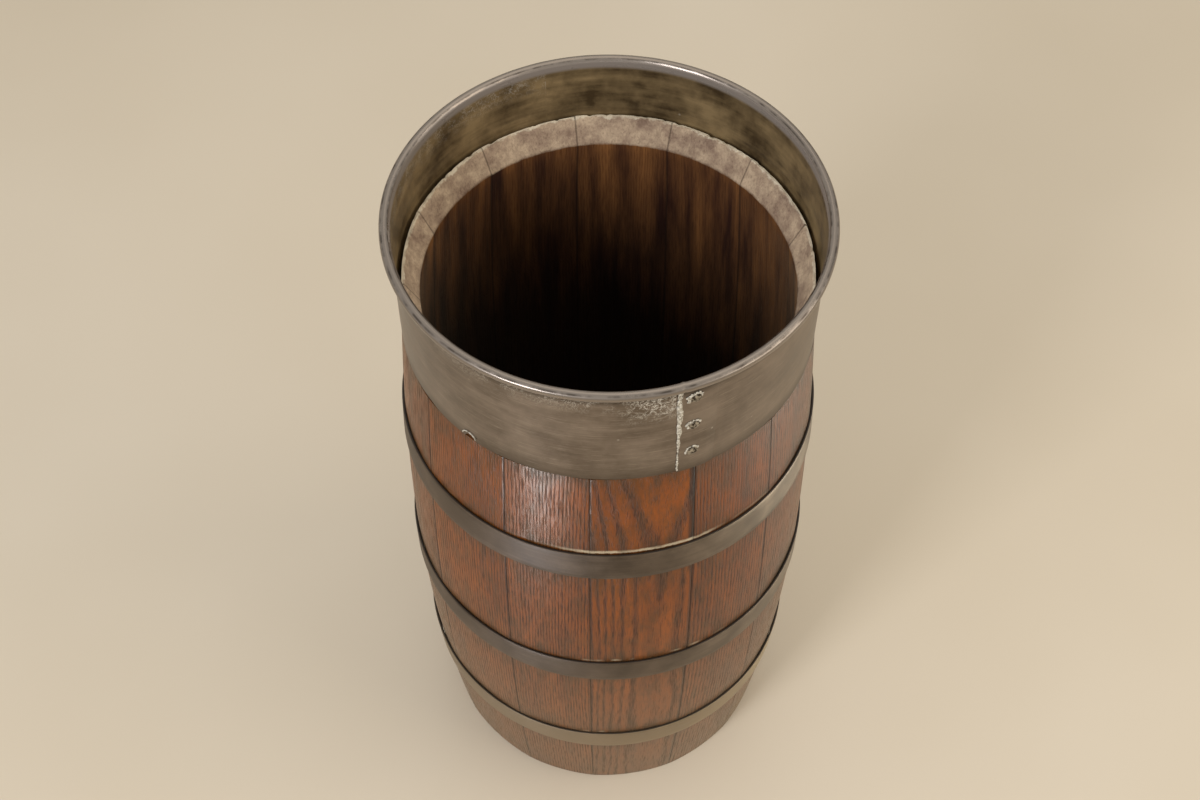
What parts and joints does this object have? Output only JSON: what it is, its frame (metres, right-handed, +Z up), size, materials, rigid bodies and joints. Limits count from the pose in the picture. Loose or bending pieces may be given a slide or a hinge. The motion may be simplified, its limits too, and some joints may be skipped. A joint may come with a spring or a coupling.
{
  "type": "oak wine barrel",
  "caption": "Slim open-topped oak barrel: bent staves in riveted iron hoops, a boarded bottom head in a groove, and a sheet-metal collar with a wired rim",
  "frame": {"origin": "middle of the foot, on the floor that it stands on", "axes": "+Z up along the barrel's axis, -Y the front, 18 degrees to the left of the collar's seam"},
  "size_m": [0.308, 0.3115, 0.575],
  "materials": {
    "oak_staves": "stained and varnished oak, satin, bare weathered end grain at the top",
    "oak_head": "dark unvarnished oak",
    "hoop_iron": "browned strip iron, dull, rubbed bright along the edges",
    "hoop_rivets": "browned iron, domed heads",
    "collar_sheet": "tarnished brown-grey sheet, satin, scratched, pale marks along the seam",
    "rim_wire": "plain drawn wire, wholly inside the rim",
    "collar_rivets": "hammered rivets with bright worn edges"
  },
  "bodies": {
    "root": {"stave_01": "oak_staves", "stave_02": "oak_staves", "stave_03": "oak_staves", "stave_04": "oak_staves", "stave_05": "oak_staves", "stave_06": "oak_staves", "stave_07": "oak_staves", "stave_08": "oak_staves", "stave_09": "oak_staves", "stave_10": "oak_staves", "stave_11": "oak_staves", "stave_12": "oak_staves", "stave_13": "oak_staves", "head_cant_left": "oak_head", "head_board_left": "oak_head", "head_board_right": "oak_head", "head_cant_right": "oak_head", "head_dowels": "oak_head", "upper_hoop": "hoop_iron", "bilge_hoop": "hoop_iron", "lower_hoop": "hoop_iron", "upper_hoop_rivets": "hoop_rivets", "bilge_hoop_rivets": "hoop_rivets", "lower_hoop_rivets": "hoop_rivets", "collar": "collar_sheet", "rim_wire": "rim_wire", "collar_rivets": "collar_rivets"}
  },
  "joints": []
}
